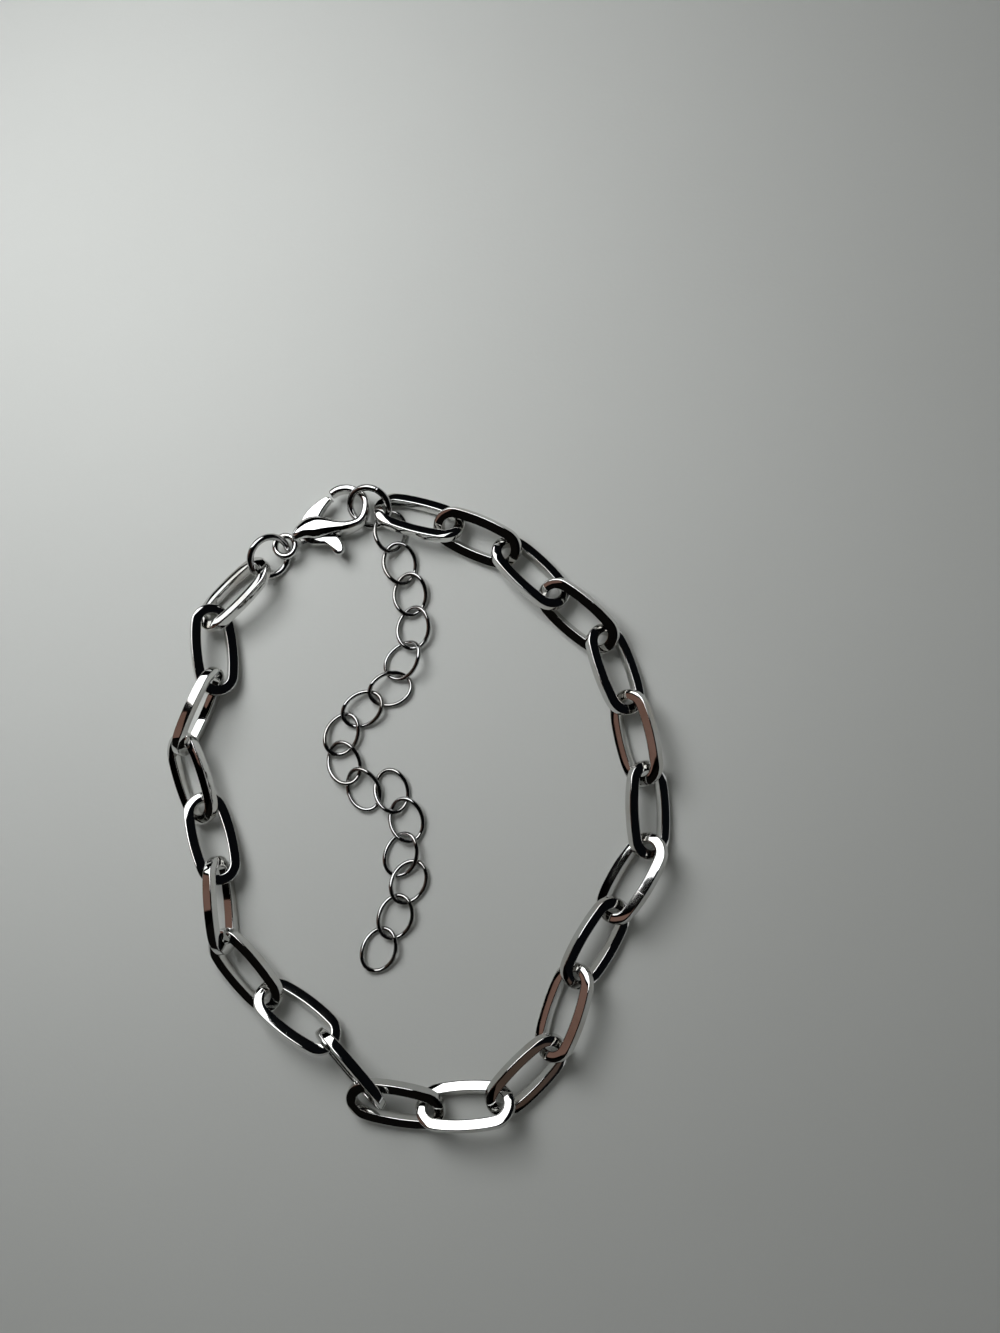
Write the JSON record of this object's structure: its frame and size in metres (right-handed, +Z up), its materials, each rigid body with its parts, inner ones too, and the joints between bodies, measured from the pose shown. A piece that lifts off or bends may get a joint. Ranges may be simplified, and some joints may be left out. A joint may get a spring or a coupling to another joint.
{
  "type": "chain bracelet",
  "caption": "Paperclip chain bracelet of long oval links with a lobster clasp and a fine curb extender chain, lying fastened in an open loop.",
  "frame": {"origin": "middle of the bracelet's box, on the surface that it lies on", "axes": "+Z up from the surface; +Y along the loop's longer way, towards the clasp; +X to the right, seen from above"},
  "size_m": [0.0538, 0.0668, 0.005],
  "materials": {
    "link_plating": "bright silver-coloured plating, mirror polished",
    "ring_plating": "bright silver-coloured plating on round wire",
    "extender_plating": "bright silver-coloured plating on fine round wire",
    "clasp_plating": "bright silver-coloured plating over a smooth casting"
  },
  "bodies": {
    "bracelet": {"link_01": "link_plating", "link_02": "link_plating", "link_03": "link_plating", "link_04": "link_plating", "link_05": "link_plating", "link_06": "link_plating", "link_07": "link_plating", "link_08": "link_plating", "link_09": "link_plating", "link_10": "link_plating", "link_11": "link_plating", "link_12": "link_plating", "link_13": "link_plating", "link_14": "link_plating", "link_15": "link_plating", "link_16": "link_plating", "link_17": "link_plating", "link_18": "link_plating", "link_19": "link_plating", "link_20": "link_plating", "link_21": "link_plating", "link_22": "link_plating", "clasp_ring": "ring_plating", "end_ring": "ring_plating", "extender_01": "extender_plating", "extender_02": "extender_plating", "extender_03": "extender_plating", "extender_04": "extender_plating", "extender_05": "extender_plating", "extender_06": "extender_plating", "extender_07": "extender_plating", "extender_08": "extender_plating", "extender_09": "extender_plating", "extender_10": "extender_plating", "extender_11": "extender_plating", "extender_12": "extender_plating", "extender_13": "extender_plating", "extender_14": "extender_plating", "extender_15": "extender_plating", "extender_16": "extender_plating", "clasp_body": "clasp_plating"},
    "lever": {"clasp_lever": "clasp_plating"}
  },
  "joints": [
    {"name": "lever_hinge", "type": "hinge", "parent": "bracelet", "child": "lever", "pos_m": [-0.01269, 0.02819, 0.0015], "axis": [0, 0, -1], "range_deg": [0, 26], "stiffness_Nm_per_rad": 0.004, "springref_deg": -17.19}
  ]
}
